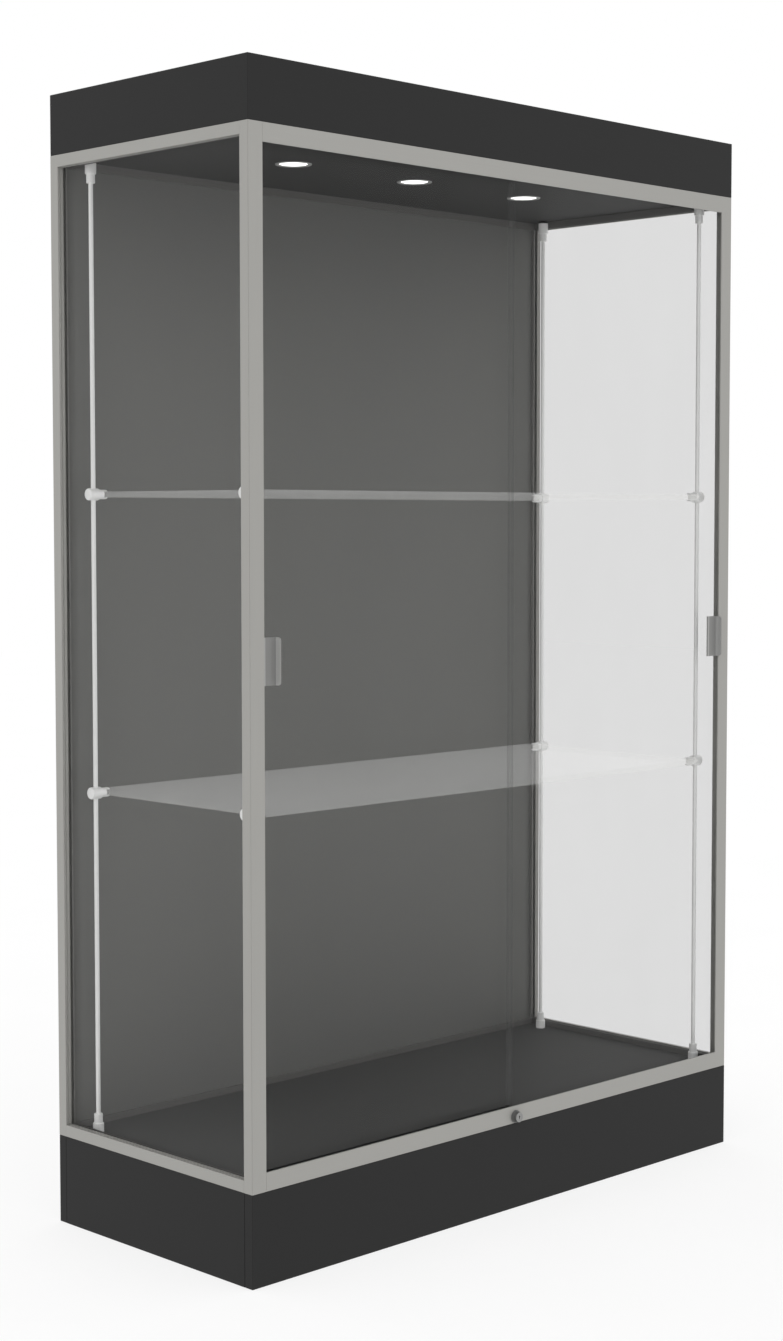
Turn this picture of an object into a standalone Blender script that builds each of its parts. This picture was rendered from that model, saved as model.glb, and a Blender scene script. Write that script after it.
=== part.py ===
"""Tower display case: laminate plinth and canopy, glazed aluminium frame, two
sliding glass doors with a plunger lock, and two glass shelves clamped on four
vertical rods, under three recessed downlights.

Metres, +Z up, +X to the right along the front, +Y towards the back.
The origin is on the floor at the centre of the 1219.2 x 508 mm footprint.
"""
import bpy
import bmesh
from math import cos, sin, pi, radians
from mathutils import Matrix, Vector

for ob in list(bpy.data.objects):
    bpy.data.objects.remove(ob, do_unlink=True)

MM = 0.001
GAP = 0.3                     # clearance kept between touching pieces

# ---- driving dimensions, in millimetres --------------------------------------
WIDTH, DEPTH, HEIGHT = 1219.2, 508.0, 1930.4
HX, HY = WIDTH / 2, DEPTH / 2
PLINTH_H = 152.4              # plinth, and underside of the glazed frame
CANOPY_Z = 1828.8             # top of the frame, underside of the canopy
BOARD = 19.0                  # plinth and canopy board thickness

BAR = 20.0                    # frame bar, square section
LIP = 10.0                    # front jamb lip beyond the bar, giving a 30 mm face
LIP_T = 3.0                   # lip thickness
GLASS = 6.0                   # door and side glass
GROOVE = 6.0                  # glazing groove depth for the back panel
POCKET = 5.0                  # glazing pocket depth for the side glass and its bead
SIDE_GLASS_X = HX - 14.0      # centre plane of the side glass
POCKET_X = HX - 5.0           # outer wall of the pocket
BACK_Y = 243.3                # centre plane of the back panel
FLOOR_Z = 161.5               # top of the display deck
CEIL_Z = 1822.0               # underside of the ceiling panel

OUTER_Y, INNER_Y = -245.5, -233.5   # centre planes of the two doors
DOOR_EDGE = 588.8             # closed doors reach to here in X
RIGHT_DOOR_X0 = -7.5          # left edge of the outer (right) door
LEFT_DOOR_X1 = 16.0           # right edge of the inner (left) door
DOOR_Z0, DOOR_Z1 = 168.3, 1818.0
SHOE_Z0, SHOE_Z1 = 158.6, 178.0
PULL_W, PULL_H, PULL_PROJ = 28.5, 76.2, 13.7
PULL_Z = 992.9
LEFT_PULL_X, RIGHT_PULL_X = -540.8, 577.8     # lip side of each pull

LOCK_X, LOCK_Z = 5.0, 164.0
LOCK_TRAVEL = 5.0

ROD_X, ROD_BACK, ROD_FRONT = 571.5, 193.0, -206.0
ROD_R = 3.9
SHELF_Z = (749.3, 1258.8)     # centre heights of the two shelves
SHELF_T, SHELF_X = 9.5, 552.5
SHELF_Y0, SHELF_Y1 = -226.5, 213.5
CLAMP_OUT, CLAMP_STEP, CLAMP_IN = 583.0, 562.5, 545.0
CLAMP_R, JAW_R = 10.3, 8.15

LIGHT_X, LIGHT_Y = (-292.1, 0.0, 292.1), -6.5

# ---- materials ---------------------------------------------------------------
def material(name, rgb, rough, metal=0.0, alpha=1.0):
    m = bpy.data.materials.new(name)
    m.use_nodes = True
    b = m.node_tree.nodes["Principled BSDF"]
    b.inputs["Base Color"].default_value = (*rgb, 1.0)
    b.inputs["Roughness"].default_value = rough
    b.inputs["Metallic"].default_value = metal
    b.inputs["Alpha"].default_value = alpha
    m.diffuse_color = (*rgb, alpha)
    return m

LAMINATE = material("charcoal_laminate", (0.04, 0.04, 0.04), 0.5)
ALUMINIUM = material("satin_aluminium", (0.37, 0.37, 0.35), 0.45, 0.6)
CLEAR = material("clear_glass", (0.85, 0.9, 0.9), 0.05, 0.0, 0.3)
PANEL = material("grey_back_panel", (0.12, 0.12, 0.115), 0.6)
RUBBER = material("black_rubber", (0.03, 0.03, 0.03), 0.7)
TRACK = material("black_track", (0.04, 0.04, 0.042), 0.5)
SATIN = material("satin_nickel", (0.65, 0.65, 0.64), 0.35, 0.6)
CHROME = material("lock_chrome", (0.6, 0.6, 0.6), 0.2, 1.0)
BOARDWOOD = material("raw_board", (0.35, 0.27, 0.18), 0.8)
LAMP = material("downlight_trim", (0.7, 0.7, 0.7), 0.4)
PLASTIC = material("inlet_plastic", (0.03, 0.03, 0.03), 0.5)

# ---- builders ----------------------------------------------------------------
def finish(name, bm, origin, mat, smooth=False, parent=None):
    """Turn a bmesh given in millimetres, in the world's frame, into an object
    whose own origin is at the given point."""
    o = Vector(origin) * MM
    bmesh.ops.scale(bm, vec=(MM, MM, MM), verts=bm.verts)
    bmesh.ops.translate(bm, vec=-o, verts=bm.verts)
    bmesh.ops.recalc_face_normals(bm, faces=bm.faces)
    me = bpy.data.meshes.new(name)
    bm.to_mesh(me)
    bm.free()
    me.materials.append(mat)
    ob = bpy.data.objects.new(name, me)
    bpy.context.scene.collection.objects.link(ob)
    if parent is not None:
        ob.parent = parent
        ob.location = o - parent.location
    else:
        ob.location = o
    if smooth:
        me.shade_smooth()
        me.set_sharp_from_angle(angle=radians(35))
    return ob

def axis_empty(name, at):
    e = bpy.data.objects.new(name, None)
    e.location = Vector(at) * MM
    e.empty_display_size = 0.05
    bpy.context.scene.collection.objects.link(e)
    return e

def bm_box(x0, x1, y0, y1, z0, z1):
    bm = bmesh.new()
    bmesh.ops.create_cube(bm, size=1.0)
    bmesh.ops.scale(bm, vec=(x1 - x0, y1 - y0, z1 - z0), verts=bm.verts)
    bmesh.ops.translate(bm, vec=((x0 + x1) / 2, (y0 + y1) / 2, (z0 + z1) / 2), verts=bm.verts)
    return bm

def box(name, x0, x1, y0, y1, z0, z1, mat, bevel=0.0, parent=None, origin=None):
    c = origin or ((x0 + x1) / 2, (y0 + y1) / 2, (z0 + z1) / 2)
    ob = finish(name, bm_box(x0, x1, y0, y1, z0, z1), c, mat, parent=parent)
    if bevel:
        add_bevel(ob, bevel)
    return ob

def add_bevel(ob, width, angle=35.0):
    m = ob.modifiers.new("edge_break", 'BEVEL')
    m.width = width * MM
    m.segments = 1
    m.limit_method = 'ANGLE'
    m.angle_limit = radians(angle)

def extrusion(name, outline, axis, a0, a1, mat, origin, parent=None, bevel=0.0):
    """A closed outline drawn in the plane square to `axis`, extruded from a0
    to a1. Outline pairs are (Y,Z) for X, (X,Z) for Y and (X,Y) for Z."""
    place = {"X": lambda u, v, a: (a, u, v), "Y": lambda u, v, a: (u, a, v),
             "Z": lambda u, v, a: (u, v, a)}[axis]
    bm = bmesh.new()
    face = bm.faces.new([bm.verts.new(place(u, v, a0)) for u, v in outline])
    new = bmesh.ops.extrude_face_region(bm, geom=[face])["geom"]
    step = Vector(place(0, 0, a1 - a0))
    bmesh.ops.translate(bm, vec=step, verts=[g for g in new if isinstance(g, bmesh.types.BMVert)])
    ob = finish(name, bm, origin, mat, parent=parent)
    if bevel:
        add_bevel(ob, bevel)
    return ob

def turned(name, profile, axis, centre, mat, segments=24, parent=None, origin=None):
    """A turned piece: (radius, station) pairs along `axis`, from one end on the
    axis to the other end on it. A profile that starts and ends off the axis is
    closed on itself, as a ring."""
    ring = profile[0][0] > 0
    frame = {"X": Matrix(((0, 0, 1), (1, 0, 0), (0, 1, 0))),
             "Y": Matrix(((1, 0, 0), (0, 0, 1), (0, -1, 0))),
             "Z": Matrix.Identity(3)}[axis]
    bm = bmesh.new()
    rows = []
    for r, t in profile:
        if r == 0:
            rows.append([bm.verts.new((0, 0, t))])
        else:
            rows.append([bm.verts.new((r * cos(2 * pi * k / segments), r * sin(2 * pi * k / segments), t))
                         for k in range(segments)])
    pairs = list(zip(rows, rows[1:])) + ([(rows[-1], rows[0])] if ring else [])
    for a, b in pairs:
        for k in range(segments):
            k2 = (k + 1) % segments
            corner = [a[k % len(a)], a[k2 % len(a)], b[k2 % len(b)], b[k % len(b)]]
            bm.faces.new(list(dict.fromkeys(corner)))
    bmesh.ops.transform(bm, matrix=frame.to_4x4(), verts=bm.verts)
    bmesh.ops.translate(bm, vec=centre, verts=bm.verts)
    return finish(name, bm, origin or centre, mat, smooth=True, parent=parent)

def cut(ob, cutter):
    """Keep a live Boolean difference, and hide its cutter."""
    m = ob.modifiers.new("cut_" + cutter.name, 'BOOLEAN')
    m.operation = 'DIFFERENCE'
    m.solver = 'EXACT'
    m.object = cutter
    cutter.hide_render = True
    cutter.display_type = 'WIRE'
    return ob

def cutter_box(name, x0, x1, y0, y1, z0, z1):
    return box("cutter_" + name, x0, x1, y0, y1, z0, z1, RUBBER)

def cutter_rod(name, axis, centre, r, half, segments=24):
    return turned("cutter_" + name, [(0, -half), (r, -half), (r, half), (0, half)],
                  axis, centre, RUBBER, segments)

# ---- plinth ------------------------------------------------------------------
P1 = PLINTH_H - GAP
box("plinth_front", -HX, HX, -HY, -HY + BOARD, 0, P1, LAMINATE, 0.8)
box("plinth_back", -HX, HX, HY - BOARD, HY, 0, P1, LAMINATE, 0.8)
for side, s in (("left", -1), ("right", 1)):
    x0, x1 = sorted((s * HX, s * (HX - BOARD)))
    box("plinth_" + side, x0, x1, -HY + BOARD + GAP, HY - BOARD - GAP, 0, P1, LAMINATE, 0.5)
inner_x, inner_y = HX - BOARD - GAP, HY - BOARD - GAP
box("plinth_top", -inner_x, inner_x, -inner_y, inner_y, P1 - BOARD, P1, BOARDWOOD, 0.5)
box("plinth_stretcher", -9.5, 9.5, -inner_y, inner_y, 0, P1 - BOARD - GAP, BOARDWOOD, 0.5)

LEVEL_X, LEVEL_Y = 563.0, 195.0
for side, s in (("left", -1), ("right", 1)):
    x0, x1 = sorted((s * inner_x, s * (inner_x - 55.0)))
    runner = box("plinth_runner_" + side, x0, x1, -inner_y, inner_y, 95.0, P1 - BOARD - GAP, BOARDWOOD)
    for end, t in (("front", -1), ("back", 1)):
        at = (s * LEVEL_X, t * LEVEL_Y, 0.0)
        cut(runner, cutter_rod("leveller_" + end + "_" + side, "Z", (at[0], at[1], 114.0), 5.4, 30.0))
        hub = axis_empty("leveller_axis_" + end + "_" + side, at)
        turned("leveller_" + end + "_" + side,
               [(0, 2.0), (17.0, 2.0), (19.0, 3.5), (19.0, 7.0), (12.0, 11.0), (8.5, 11.0), (8.5, 18.0),
                (5.0, 18.0), (5.0, 128.0), (4.0, 129.0), (0, 129.0)],
               "Z", at, CHROME, 16, parent=hub)

# ---- deck --------------------------------------------------------------------
DECK_Y0 = -226.0
deck = box("deck_panel", -HX + BAR + GAP, HX - BAR - GAP, DECK_Y0, HY - BAR - GAP, PLINTH_H, FLOOR_Z, LAMINATE, 0.3)
# the rods' feet pass through the deck and stand on the plinth's top board
for ry in (ROD_FRONT, ROD_BACK):
    for s in (-1, 1):
        cut(deck, cutter_rod("rod_hole_%d_%d" % (s, ry), "Z", (s * ROD_X, ry, 157.0), 9.9, 12.0))

# ---- aluminium frame ---------------------------------------------------------
GZ0, GZ1 = PLINTH_H, CANOPY_Z
BX = HX - BAR                       # inner face of the side bars, 589.6
BY = HY - BAR                       # inner face of the back bars, 234
gh = GLASS / 2 + GAP                # half width of a glazing groove

def front_post(name, s):
    # plan outline: square bar with a pocket for the side glass in its back
    # face, and the jamb lip that covers the door's edge
    pts = [(HX, -HY), (HX, -BY), (POCKET_X, -BY), (POCKET_X, -BY - POCKET),
           (SIDE_GLASS_X - gh, -BY - POCKET), (SIDE_GLASS_X - gh, -BY), (BX, -BY),
           (BX, -HY + LIP_T), (BX - LIP, -HY + LIP_T), (BX - LIP, -HY)]
    extrusion(name, [(s * x, y) for x, y in pts], "Z", GZ0, GZ1, ALUMINIUM, (s * HX, -HY, GZ0), bevel=0.4)

def back_post(name, s):
    # pocket for the side glass (front face), groove for the back panel (inner face)
    pts = [(HX, HY), (HX, BY), (POCKET_X, BY), (POCKET_X, BY + POCKET),
           (SIDE_GLASS_X - gh, BY + POCKET), (SIDE_GLASS_X - gh, BY), (BX, BY),
           (BX, BACK_Y - gh), (BX + GROOVE, BACK_Y - gh), (BX + GROOVE, BACK_Y + gh),
           (BX, BACK_Y + gh), (BX, HY)]
    extrusion(name, [(s * x, y) for x, y in pts], "Z", GZ0, GZ1, ALUMINIUM, (s * HX, HY, GZ0), bevel=0.4)

def side_rail(name, s, z_out, up):
    # h runs from the outer (board) side of the rail to its glazing pocket
    pts = [(HX, 0), (HX, BAR), (POCKET_X, BAR), (POCKET_X, BAR - POCKET),
           (SIDE_GLASS_X - gh, BAR - POCKET), (SIDE_GLASS_X - gh, BAR), (BX, BAR), (BX, 0)]
    extrusion(name, [(s * x, z_out + up * h) for x, h in pts], "Y", -BY + GAP, BY - GAP,
              ALUMINIUM, (s * HX, 0, z_out), bevel=0.4)

def back_rail(name, z_out, up):
    pts = [(HY, 0), (HY, BAR), (BACK_Y + gh, BAR), (BACK_Y + gh, BAR - GROOVE),
           (BACK_Y - gh, BAR - GROOVE), (BACK_Y - gh, BAR), (BY, BAR), (BY, 0)]
    extrusion(name, [(y, z_out + up * h) for y, h in pts], "X", -BX + GAP, BX - GAP,
              ALUMINIUM, (0, HY, z_out), bevel=0.4)

def front_rail(name, z_out, up):
    # L section: the 30 mm face, and the flange that the door track sits on
    pts = [(-HY, 0), (-HY, BAR + LIP + 0.4), (-HY + LIP_T, BAR + LIP + 0.4), (-HY + LIP_T, LIP_T),
           (DECK_Y0 - GAP, LIP_T), (DECK_Y0 - GAP, 0)]
    x = BX - LIP - GAP
    return extrusion(name, [(y, z_out + up * h) for y, h in pts], "X", -x, x,
                     ALUMINIUM, (0, -HY, z_out), bevel=0.3)

for side, s in (("left", -1), ("right", 1)):
    front_post("post_front_" + side, s)
    back_post("post_back_" + side, s)
    side_rail("rail_bottom_" + side, s, GZ0, 1)
    side_rail("rail_top_" + side, s, GZ1, -1)
back_rail("rail_bottom_back", GZ0, 1)
back_rail("rail_top_back", GZ1, -1)
front_rail("rail_top_front", GZ1, -1)
sill = front_rail("rail_bottom_front", GZ0, 1)
cut(sill, cutter_rod("lock_hole", "Y", (LOCK_X, -HY + 1.0, LOCK_Z), 10.3, 2.02))

# ---- glazing -----------------------------------------------------------------
gy = BY + POCKET - 0.4
gz0, gz1 = GZ0 + BAR - POCKET + 0.4, GZ1 - BAR + POCKET - 0.4
for side, s in (("left", -1), ("right", 1)):
    c = s * SIDE_GLASS_X
    box("side_glass_" + side, c - GLASS / 2, c + GLASS / 2, -gy, gy, gz0, gz1, CLEAR, 0.4)
    # glazing bead: an aluminium ring pressed into the pocket against the outer
    # face of the pane, standing 0.8 mm proud of the bars
    x0, x1 = sorted((s * (SIDE_GLASS_X + gh), s * (POCKET_X - GAP)))
    bead = box("glazing_bead_" + side, x0, x1, -gy, gy, gz0, gz1, ALUMINIUM)
    cut(bead, cutter_box("bead_" + side, x0 - 5, x1 + 5, -BY + 0.8, BY - 0.8, GZ0 + BAR + 0.8, GZ1 - BAR - 0.8))
bx = BX + GROOVE - 0.4
box("back_panel", -bx, bx, BACK_Y - GLASS / 2, BACK_Y + GLASS / 2, GZ0 + BAR - GROOVE + 0.4, GZ1 - BAR + GROOVE - 0.4, PANEL, 0.3)

# ---- door tracks -------------------------------------------------------------
TX = BX - 0.4
T0 = GZ0 + LIP_T + GAP              # lower track, an E section open upwards
extrusion("door_track_lower",
          [(-250.6, T0), (-226.4, T0), (-226.4, 171.0), (-228.4, 171.0), (-228.4, T0 + 2.5),
           (-238.7, T0 + 2.5), (-238.7, 171.0), (-240.3, 171.0), (-240.3, T0 + 2.5), (-250.6, T0 + 2.5)],
          "X", -TX, TX, TRACK, (0, -240.0, T0))
T1 = GZ1 - LIP_T - GAP              # upper track, deeper, open downwards
extrusion("door_track_upper",
          [(-250.6, T1), (-250.6, 1801.5), (-249.2, 1801.5), (-249.2, T1 - 2.5), (-241.8, T1 - 2.5),
           (-241.8, 1805.0), (-237.2, 1805.0), (-237.2, T1 - 2.5), (-229.8, T1 - 2.5), (-229.8, 1805.0),
           (-227.0, 1805.0), (-227.0, T1)],
          "X", -TX, TX, TRACK, (0, -240.0, T1))

# ---- sliding doors -----------------------------------------------------------
def door(side, x0, x1, yc, pull_x, shoe_x0):
    axis = axis_empty("door_slide_" + side, ((x0 + x1) / 2, yc, SHOE_Z0))
    box("door_glass_" + side, x0, x1, yc - GLASS / 2, yc + GLASS / 2, DOOR_Z0, DOOR_Z1, CLEAR, 0.5, parent=axis)
    h, w = GLASS / 2, GLASS / 2 + GAP
    extrusion("door_shoe_" + side,
                     [(yc - 4.4, SHOE_Z0), (yc + 4.4, SHOE_Z0), (yc + 4.4, SHOE_Z1), (yc + w, SHOE_Z1),
                      (yc + w, DOOR_Z0 - GAP), (yc - w, DOOR_Z0 - GAP), (yc - w, SHOE_Z1), (yc - 4.4, SHOE_Z1)],
                     "X", shoe_x0, x1, TRACK, ((x0 + x1) / 2, yc, SHOE_Z0), parent=axis)
    # finger pull: a flat flange against the glass, a low step along it, and
    # the lip that the fingers push on
    f = yc - h - GAP
    pts = [(-PULL_W, 0), (-PULL_W, -1.6), (-PULL_W + 0.6, -2.2), (-PULL_W + 6.2, -2.2), (-PULL_W + 6.9, -1.6),
           (-6.0, -1.6), (-4.6, -1.9), (-3.4, -2.7), (-2.7, -4.0), (-2.4, -6.0),
           (-2.2, -PULL_PROJ + 0.6), (-1.6, -PULL_PROJ), (-0.6, -PULL_PROJ), (0, -PULL_PROJ + 0.6), (0, 0)]
    pull = extrusion("door_pull_" + side, [(pull_x + u, f + v) for u, v in pts], "Z",
                     PULL_Z - PULL_H / 2, PULL_Z + PULL_H / 2, ALUMINIUM,
                     (pull_x, f, PULL_Z), parent=axis)
    # the lip's two free corners are rounded off
    for k, sz in (("low", -1), ("high", 1)):
        z_end, r = PULL_Z + sz * PULL_H / 2, 6.0
        y_tip = f - PULL_PROJ
        arc = [(y_tip + r - r * cos(a), z_end - sz * (r - r * sin(a))) for a in
               [radians(90) * i / 6 for i in range(7)]]
        corner = [(y_tip - 1, z_end - sz * r)] + arc + [(y_tip + r, z_end + sz * 1), (y_tip - 1, z_end + sz * 1)]
        cut(pull, extrusion("cutter_pull_" + side + "_" + k, corner, "X", pull_x - 5, pull_x + 5, RUBBER,
                            (pull_x, y_tip, z_end)))

door("left", -DOOR_EDGE, LEFT_DOOR_X1, INNER_Y, LEFT_PULL_X, -DOOR_EDGE)
# the outer door's shoe stops short of its glass, so that the lock's bolt comes
# up against the shoe's end, under the glass, and holds the door shut
door("right", RIGHT_DOOR_X0, DOOR_EDGE, OUTER_Y, RIGHT_PULL_X, LOCK_X + 4.0)

# ---- plunger lock ------------------------------------------------------------
# stations are Y positions, from the back of the lip to the face of the housing
Y = -HY
turned("lock_housing",
       [(3.8, (Y + 2.8)), (10.0, (Y + 2.8)), (10.0, (Y - 0.3)), (11.5, (Y - 0.3)), (11.5, (Y - 1.0)),
        (11.1, (Y - 1.4)), (9.8, (Y - 1.4)), (9.8, (Y - 4.9)), (9.4, (Y - 5.3)), (9.0, (Y - 5.3)),
        (9.0, (Y + 1.1)), (3.8, (Y + 1.1))],
       "Y", (LOCK_X, 0, LOCK_Z), CHROME, 24)
lock_axis = axis_empty("lock_push_axis", (LOCK_X, Y, LOCK_Z))
plunger = turned("lock_plunger",
                 [(0, (Y + 3.7)), (2.9, (Y + 3.7)), (3.5, (Y + 3.1)), (3.5, (Y - 4.5)), (8.8, (Y - 4.5)),
                  (8.8, (Y - 9.8)), (8.3, (Y - 10.3)), (5.9, (Y - 10.3)), (5.6, (Y - 9.9)), (0, (Y - 9.9))],
                 "Y", (LOCK_X, 0, LOCK_Z), CHROME, 24, parent=lock_axis)
cut(plunger, cutter_box("keyway", LOCK_X - 0.7, LOCK_X + 0.7, Y - 12.0, Y - 7.4, LOCK_Z - 3.4, LOCK_Z + 3.4))

# ---- shelf rods --------------------------------------------------------------
for end, ry in (("front", ROD_FRONT), ("back", ROD_BACK)):
    for side, s in (("left", -1), ("right", 1)):
        z0, z1 = PLINTH_H, CEIL_Z - GAP
        turned("rod_" + end + "_" + side,
               [(0, z0), (9.5, z0), (9.5, 177.3), (7.4, 177.3), (7.4, 193.8), (ROD_R, 193.8),
                (ROD_R, 1781.0), (7.4, 1781.0), (7.4, 1796.5), (9.5, 1796.5), (9.5, 1817.0),
                (5.0, 1817.0), (5.0, z1), (0, z1)],
               "Z", (s * ROD_X, ry, 0), SATIN, 20)

# ---- glass shelves and their clamps --------------------------------------------
for level, zc in (("lower", SHELF_Z[0]), ("upper", SHELF_Z[1])):
    axis = axis_empty("shelf_slide_" + level, (0, (SHELF_Y0 + SHELF_Y1) / 2, zc))
    box("shelf_glass_" + level, -SHELF_X, SHELF_X, SHELF_Y0, SHELF_Y1, zc - SHELF_T / 2, zc + SHELF_T / 2,
        CLEAR, 0.8, parent=axis)
    for end, ry in (("front", ROD_FRONT), ("back", ROD_BACK)):
        for side, s in (("left", -1), ("right", 1)):
            name = "clamp_%s_%s_%s" % (level, end, side)
            # stepped round body lying along X: barrel round the rod, then the jaw
            st = [(0, CLAMP_IN), (7.15, CLAMP_IN), (JAW_R, CLAMP_IN + 1.0), (JAW_R, CLAMP_STEP),
                  (9.5, CLAMP_STEP), (CLAMP_R, CLAMP_STEP + 0.8), (CLAMP_R, CLAMP_OUT - 1.4),
                  (CLAMP_R - 1.4, CLAMP_OUT), (0, CLAMP_OUT)]
            c = turned(name, [(r, s * x) for r, x in st], "X", (0, ry, zc), SATIN, 24, parent=axis,
                       origin=(s * ROD_X, ry, zc))
            cut(c, cutter_rod(name + "_bore", "Z", (s * ROD_X, ry, zc), ROD_R + 0.4, 20.0, 20))
            x0, x1 = sorted((s * (CLAMP_IN - 3), s * (SHELF_X + 1.2)))
            cut(c, cutter_box(name + "_slot", x0, x1, ry - 15, ry + 15, zc - SHELF_T / 2 - GAP, zc + SHELF_T / 2 + GAP))

# ---- canopy ------------------------------------------------------------------
C0 = CANOPY_Z + GAP
shell = box("canopy_shell", -HX, HX, -HY, HY, C0, HEIGHT, LAMINATE)
cut(shell, cutter_box("canopy_hollow", -HX + BOARD, HX - BOARD, -HY + BOARD, HY - BOARD, C0 - 10, HEIGHT - BOARD))
INLET_X, INLET_Z = -480.0, 1872.0
cut(shell, cutter_box("inlet_hole", INLET_X - 25, INLET_X + 25, HY - 30, HY + 10, INLET_Z - 15, INLET_Z + 15))
add_bevel(shell, 0.8)

# mains inlet for the lighting: a recessed socket with three blades
inlet = box("power_inlet", INLET_X - 24.6, INLET_X + 24.6, HY - 26.0, HY - 0.5, INLET_Z - 14.6, INLET_Z + 14.6,
            PLASTIC, 0.0)
cut(inlet, cutter_box("inlet_well", INLET_X - 12, INLET_X + 12, HY - 18.0, HY + 5, INLET_Z - 8.5, INLET_Z + 8.5))

ceiling = box("ceiling_panel", -HX + BAR + GAP, HX - BAR - GAP, DECK_Y0, HY - BAR - GAP, CEIL_Z, CANOPY_Z - GAP, LAMINATE)
for i, lx in enumerate(LIGHT_X):
    cut(ceiling, cutter_rod("light_hole_%d" % (i + 1), "Z", (lx, LIGHT_Y, CEIL_Z + 3), 29.6, 12.0, 24))
    # recessed LED downlight: trim flange under the ceiling, heat-sink body above
    turned("downlight_%d" % (i + 1),
           [(0, CEIL_Z + 1.0), (29.0, CEIL_Z - 0.6), (30.5, CEIL_Z - 1.9), (33.0, CEIL_Z - 1.9), (34.0, CEIL_Z - 1.0),
            (34.0, CEIL_Z - GAP), (29.0, CEIL_Z - GAP), (29.0, CEIL_Z + 14.0), (24.0, CEIL_Z + 14.0),
            (24.0, CEIL_Z + 26.0), (0, CEIL_Z + 26.0)],
           "Z", (lx, LIGHT_Y, 0), LAMP, 24)
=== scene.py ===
"""Looks for the tower display case: materials, fine meshes, studio and camera,
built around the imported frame. Lengths in the builders are millimetres."""
import bpy
import bmesh
from math import cos, sin, tan, pi, radians
from mathutils import Matrix, Vector


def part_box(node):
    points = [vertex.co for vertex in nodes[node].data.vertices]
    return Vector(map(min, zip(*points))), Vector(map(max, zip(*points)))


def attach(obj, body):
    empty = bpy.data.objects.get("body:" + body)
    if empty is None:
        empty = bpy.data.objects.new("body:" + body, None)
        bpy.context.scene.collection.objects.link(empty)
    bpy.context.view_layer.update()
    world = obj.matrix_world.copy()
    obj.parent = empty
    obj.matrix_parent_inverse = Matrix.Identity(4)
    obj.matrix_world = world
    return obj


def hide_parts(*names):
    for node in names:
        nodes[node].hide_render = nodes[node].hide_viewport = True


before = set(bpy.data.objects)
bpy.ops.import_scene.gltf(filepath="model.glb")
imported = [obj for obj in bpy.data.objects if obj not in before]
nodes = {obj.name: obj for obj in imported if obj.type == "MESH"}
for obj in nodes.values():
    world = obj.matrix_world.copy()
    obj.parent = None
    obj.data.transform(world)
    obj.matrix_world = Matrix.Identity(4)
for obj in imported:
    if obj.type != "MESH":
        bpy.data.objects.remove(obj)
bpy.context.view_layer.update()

MM = 0.001
scene = bpy.context.scene


def mm_box(name):
    lo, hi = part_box(name)
    return [v / MM for v in lo], [v / MM for v in hi]


# =============================================================== studio =======
scene.view_settings.view_transform = 'Standard'
scene.view_settings.look = 'None'
scene.cycles.transparent_max_bounces = 48
scene.cycles.max_bounces = 10
scene.cycles.diffuse_bounces = 5
scene.cycles.glossy_bounces = 6
scene.cycles.caustics_reflective = False
scene.cycles.caustics_refractive = False

world = bpy.data.worlds.new("studio_white")
scene.world = world
world.use_nodes = True
wn, wl = world.node_tree.nodes, world.node_tree.links
wn.clear()
w_out = wn.new("ShaderNodeOutputWorld")
w_bg = wn.new("ShaderNodeBackground")
w_bg.inputs["Color"].default_value = (1.0, 1.0, 1.0, 1.0)
w_bg.inputs["Strength"].default_value = 1.0
wl.new(w_bg.outputs["Background"], w_out.inputs["Surface"])

cam_data = bpy.data.cameras.new("camera")
cam = bpy.data.objects.new("camera", cam_data)
scene.collection.objects.link(cam)
cam.location = (-2.9344, -2.9344, 1.2183)
cam.rotation_euler = (radians(86.527), 0.0, radians(-45.0))
cam_data.sensor_width = 36.0
cam_data.sensor_fit = 'AUTO'
cam_data.lens = 61.26
cam_data.shift_x = -0.01512
cam_data.shift_y = -0.01021
cam_data.clip_start, cam_data.clip_end = 0.05, 200.0
scene.camera = cam


def soft_box(name, at, aim, size, watts):
    d = bpy.data.lights.new(name, 'AREA')
    d.shape = 'RECTANGLE'
    d.size, d.size_y = size
    d.energy = watts
    o = bpy.data.objects.new(name, d)
    scene.collection.objects.link(o)
    o.location = at
    o.rotation_euler = (Vector(aim) - Vector(at)).to_track_quat('-Z', 'Y').to_euler()
    o.visible_camera = False
    return o


soft_box("soft_box_left", (-4.2, -1.8, 3.4), (0.0, 0.0, 1.0), (2.6, 3.0), 7.0)
soft_box("soft_box_front", (1.6, -4.6, 3.2), (0.0, 0.0, 1.0), (3.0, 2.4), 5.0)

# ============================================================ materials =======


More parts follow.
